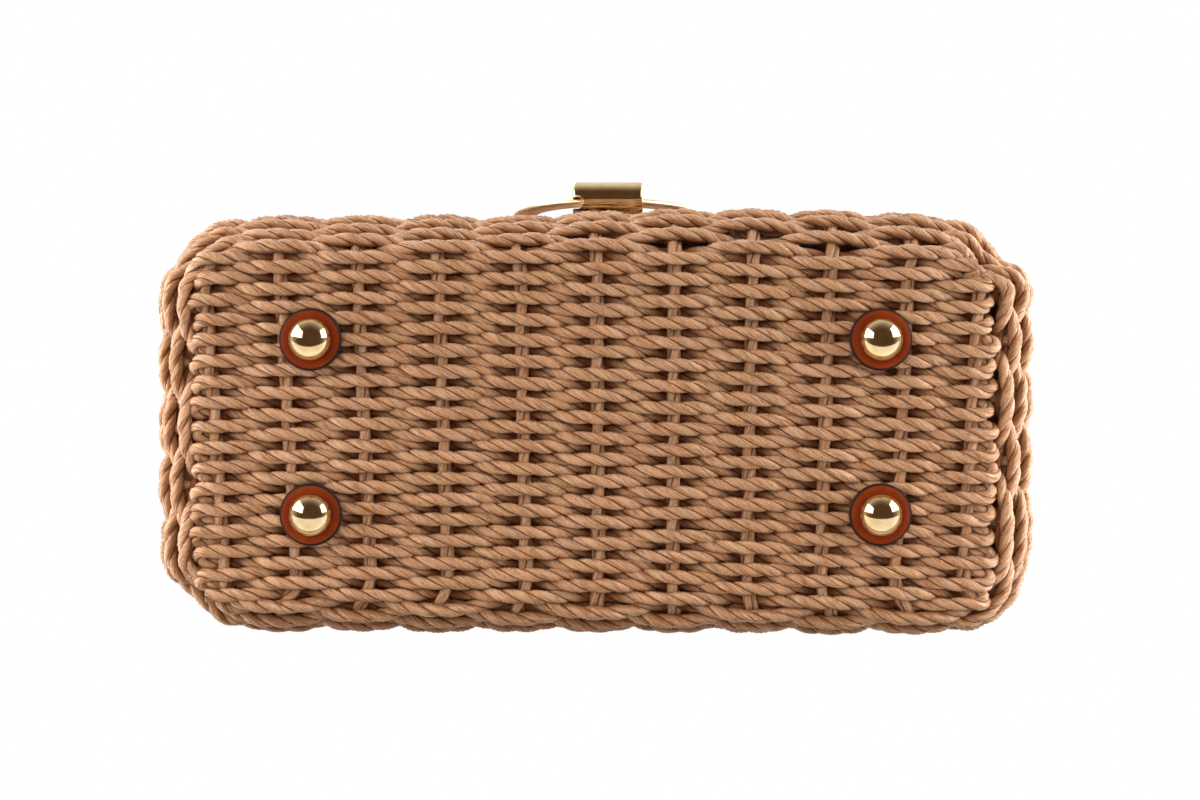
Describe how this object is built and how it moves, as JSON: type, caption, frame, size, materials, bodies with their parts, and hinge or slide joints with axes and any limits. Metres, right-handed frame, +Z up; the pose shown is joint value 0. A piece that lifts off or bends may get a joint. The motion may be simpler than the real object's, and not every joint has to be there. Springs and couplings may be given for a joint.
{
  "type": "basket box bag",
  "caption": "Woven paper-cord box bag with a hinged lid, dome feet on leather washers, a leather tab with a pull ring, and an arched leather handle.",
  "frame": {"origin": "middle of the four dome feet, on the surface that the bag stands on", "axes": "+Z up, the front with the clasp faces -Y, +X to the right as seen in the picture"},
  "size_m": [0.246, 0.1334, 0.2361],
  "materials": {
    "cord": "matte twisted paper",
    "leather": "smooth",
    "gold": "polished"
  },
  "bodies": {
    "basket": {"basket_base": "cord", "basket_wall": "cord", "foot_front_left": "gold", "foot_front_right": "gold", "foot_back_left": "gold", "foot_back_right": "gold", "foot_washer_front_left": "leather", "foot_washer_front_right": "leather", "foot_washer_back_left": "leather", "foot_washer_back_right": "leather", "foot_backings": "gold", "snap_stud": "gold", "snap_backing": "gold", "hinge_lower_left": "gold", "hinge_lower_right": "gold", "hinge_pin_left": "gold", "hinge_pin_right": "gold", "hinge_rivets_basket": "gold"},
    "lid": {"lid_wall": "cord", "lid_top": "cord", "clasp_tab": "leather", "tab_rivets": "gold", "snap_cap": "gold", "hinge_upper_left": "gold", "hinge_upper_right": "gold", "hinge_rivets_lid": "gold", "handle_grip": "leather", "handle_cup_left": "gold", "handle_cup_right": "gold", "handle_washer_left": "leather", "handle_washer_right": "leather", "handle_backings": "gold"},
    "ring": {"pull_ring": "gold", "ring_barrel": "gold"}
  },
  "joints": [
    {"name": "lid_hinge", "type": "hinge", "parent": "basket", "child": "lid", "pos_m": [0, 0.05939, 0.12215], "axis": [-1, 0, 0], "range_deg": [0, 105]},
    {"name": "ring_swing", "type": "hinge", "parent": "lid", "child": "ring", "pos_m": [0.0035, -0.06072, 0.10795], "axis": [-1, 0, 0], "range_deg": [0, 150]}
  ]
}
